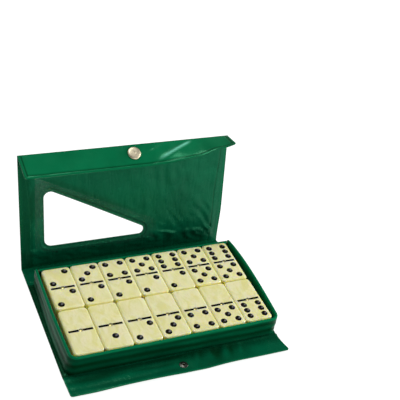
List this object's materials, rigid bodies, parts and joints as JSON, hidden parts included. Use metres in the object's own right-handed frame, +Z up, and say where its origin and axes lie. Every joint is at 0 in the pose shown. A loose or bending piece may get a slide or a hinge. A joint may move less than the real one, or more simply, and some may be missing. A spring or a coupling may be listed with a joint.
{
  "type": "domino storage box",
  "caption": "Wallet-style welded vinyl case, open, with a windowed lid, a snap flap and a walled tray that holds a full set of domino tiles in two layers.",
  "frame": {"origin": "on the table, under the middle of the base panel, which is also the middle of the tray from front to back", "axes": "+X to the right along the fold lines, +Y to the back where the lid stands, +Z up"},
  "size_m": [0.194, 0.174, 0.1128],
  "materials": {
    "vinyl": "glossy embossed green PVC sheet",
    "vinyl_lining": "dark green PVC sheet, creased",
    "card": "grey-brown board",
    "film": "clear soft PVC film",
    "nickel": "nickel-plated sheet metal",
    "tile": "marbled cream resin, polished, black pips"
  },
  "bodies": {
    "base": {"base_skin": "vinyl", "base_board": "card", "base_lining": "vinyl_lining", "tray_floor": "card", "tray_wall_core": "card", "tray_wall_cover": "vinyl", "tray_back_core": "card", "tray_back_cover": "vinyl"},
    "front_flap": {"front_flap_skin": "vinyl", "front_flap_lining": "vinyl_lining", "snap_stud": "nickel", "snap_eyelet": "nickel"},
    "spine": {"spine_skin": "vinyl", "spine_board": "card", "spine_lining": "vinyl_lining"},
    "lid": {"lid_skin": "vinyl", "lid_board": "card", "lid_lining": "vinyl_lining", "window_film": "film"},
    "lid_flap": {"lid_flap_skin": "vinyl", "lid_flap_lining": "vinyl_lining", "snap_cap": "nickel", "snap_socket": "nickel", "snap_spring": "nickel"},
    "tile_1_1": {"tile_1_1": "tile"},
    "tile_2_2": {"tile_2_2": "tile"},
    "tile_1_2": {"tile_1_2": "tile"},
    "tile_3_2": {"tile_3_2": "tile"},
    "tile_1_3": {"tile_1_3": "tile"},
    "tile_4_2": {"tile_4_2": "tile"},
    "tile_1_4": {"tile_1_4": "tile"},
    "tile_5_2": {"tile_5_2": "tile"},
    "tile_1_5": {"tile_1_5": "tile"},
    "tile_6_2": {"tile_6_2": "tile"},
    "tile_1_6": {"tile_1_6": "tile"},
    "tile_5_5": {"tile_5_5": "tile"},
    "tile_3_3": {"tile_3_3": "tile"},
    "tile_6_5": {"tile_6_5": "tile"},
    "tile_4_3": {"tile_4_3": "tile"},
    "tile_0_0": {"tile_0_0": "tile"},
    "tile_5_3": {"tile_5_3": "tile"},
    "tile_0_1": {"tile_0_1": "tile"},
    "tile_6_3": {"tile_6_3": "tile"},
    "tile_0_2": {"tile_0_2": "tile"},
    "tile_4_4": {"tile_4_4": "tile"},
    "tile_0_3": {"tile_0_3": "tile"},
    "tile_5_4": {"tile_5_4": "tile"},
    "tile_0_4": {"tile_0_4": "tile"},
    "tile_6_4": {"tile_6_4": "tile"},
    "tile_0_5": {"tile_0_5": "tile"},
    "tile_6_6": {"tile_6_6": "tile"},
    "tile_0_6": {"tile_0_6": "tile"}
  },
  "joints": [
    {"name": "front_flap_fold", "type": "hinge", "parent": "base", "child": "front_flap", "pos_m": [0, -0.0537, 0.001], "axis": [1, 0, 0], "range_deg": [-86.01, 0]},
    {"name": "spine_fold", "type": "hinge", "parent": "base", "child": "spine", "pos_m": [0, 0.0543, 0.001], "axis": [-1, 0, 0], "range_deg": [-90, 0]},
    {"name": "lid_fold", "type": "hinge", "parent": "spine", "child": "lid", "pos_m": [0, 0.0759, 0.001], "axis": [-1, 0, 0], "range_deg": [-12.5, 77.5]},
    {"name": "lid_flap_fold", "type": "hinge", "parent": "lid", "child": "lid_flap", "pos_m": [0, 0.09951, 0.10751], "axis": [1, 0, 0], "range_deg": [-132, 8]},
    {"name": "lift_tile_1_1", "type": "slide", "parent": "base", "child": "tile_1_1", "axis": [0, 0, 1], "range_m": [0, 0.03]},
    {"name": "lift_tile_2_2", "type": "slide", "parent": "tile_1_1", "child": "tile_2_2", "axis": [0, 0, 1], "range_m": [0, 0.03]},
    {"name": "lift_tile_1_2", "type": "slide", "parent": "base", "child": "tile_1_2", "axis": [0, 0, 1], "range_m": [0, 0.03]},
    {"name": "lift_tile_3_2", "type": "slide", "parent": "tile_1_2", "child": "tile_3_2", "axis": [0, 0, 1], "range_m": [0, 0.03]},
    {"name": "lift_tile_1_3", "type": "slide", "parent": "base", "child": "tile_1_3", "axis": [0, 0, 1], "range_m": [0, 0.03]},
    {"name": "lift_tile_4_2", "type": "slide", "parent": "tile_1_3", "child": "tile_4_2", "axis": [0, 0, 1], "range_m": [0, 0.03]},
    {"name": "lift_tile_1_4", "type": "slide", "parent": "base", "child": "tile_1_4", "axis": [0, 0, 1], "range_m": [0, 0.03]},
    {"name": "lift_tile_5_2", "type": "slide", "parent": "tile_1_4", "child": "tile_5_2", "axis": [0, 0, 1], "range_m": [0, 0.03]},
    {"name": "lift_tile_1_5", "type": "slide", "parent": "base", "child": "tile_1_5", "axis": [0, 0, 1], "range_m": [0, 0.03]},
    {"name": "lift_tile_6_2", "type": "slide", "parent": "tile_1_5", "child": "tile_6_2", "axis": [0, 0, 1], "range_m": [0, 0.03]},
    {"name": "lift_tile_1_6", "type": "slide", "parent": "base", "child": "tile_1_6", "axis": [0, 0, 1], "range_m": [0, 0.03]},
    {"name": "lift_tile_5_5", "type": "slide", "parent": "tile_1_6", "child": "tile_5_5", "axis": [0, 0, 1], "range_m": [0, 0.03]},
    {"name": "lift_tile_3_3", "type": "slide", "parent": "base", "child": "tile_3_3", "axis": [0, 0, 1], "range_m": [0, 0.03]},
    {"name": "lift_tile_6_5", "type": "slide", "parent": "tile_3_3", "child": "tile_6_5", "axis": [0, 0, 1], "range_m": [0, 0.03]},
    {"name": "lift_tile_4_3", "type": "slide", "parent": "base", "child": "tile_4_3", "axis": [0, 0, 1], "range_m": [0, 0.03]},
    {"name": "lift_tile_0_0", "type": "slide", "parent": "tile_4_3", "child": "tile_0_0", "axis": [0, 0, 1], "range_m": [0, 0.03]},
    {"name": "lift_tile_5_3", "type": "slide", "parent": "base", "child": "tile_5_3", "axis": [0, 0, 1], "range_m": [0, 0.03]},
    {"name": "lift_tile_0_1", "type": "slide", "parent": "tile_5_3", "child": "tile_0_1", "axis": [0, 0, 1], "range_m": [0, 0.03]},
    {"name": "lift_tile_6_3", "type": "slide", "parent": "base", "child": "tile_6_3", "axis": [0, 0, 1], "range_m": [0, 0.03]},
    {"name": "lift_tile_0_2", "type": "slide", "parent": "tile_6_3", "child": "tile_0_2", "axis": [0, 0, 1], "range_m": [0, 0.03]},
    {"name": "lift_tile_4_4", "type": "slide", "parent": "base", "child": "tile_4_4", "axis": [0, 0, 1], "range_m": [0, 0.03]},
    {"name": "lift_tile_0_3", "type": "slide", "parent": "tile_4_4", "child": "tile_0_3", "axis": [0, 0, 1], "range_m": [0, 0.03]},
    {"name": "lift_tile_5_4", "type": "slide", "parent": "base", "child": "tile_5_4", "axis": [0, 0, 1], "range_m": [0, 0.03]},
    {"name": "lift_tile_0_4", "type": "slide", "parent": "tile_5_4", "child": "tile_0_4", "axis": [0, 0, 1], "range_m": [0, 0.03]},
    {"name": "lift_tile_6_4", "type": "slide", "parent": "base", "child": "tile_6_4", "axis": [0, 0, 1], "range_m": [0, 0.03]},
    {"name": "lift_tile_0_5", "type": "slide", "parent": "tile_6_4", "child": "tile_0_5", "axis": [0, 0, 1], "range_m": [0, 0.03]},
    {"name": "lift_tile_6_6", "type": "slide", "parent": "base", "child": "tile_6_6", "axis": [0, 0, 1], "range_m": [0, 0.03]},
    {"name": "lift_tile_0_6", "type": "slide", "parent": "tile_6_6", "child": "tile_0_6", "axis": [0, 0, 1], "range_m": [0, 0.03]}
  ]
}
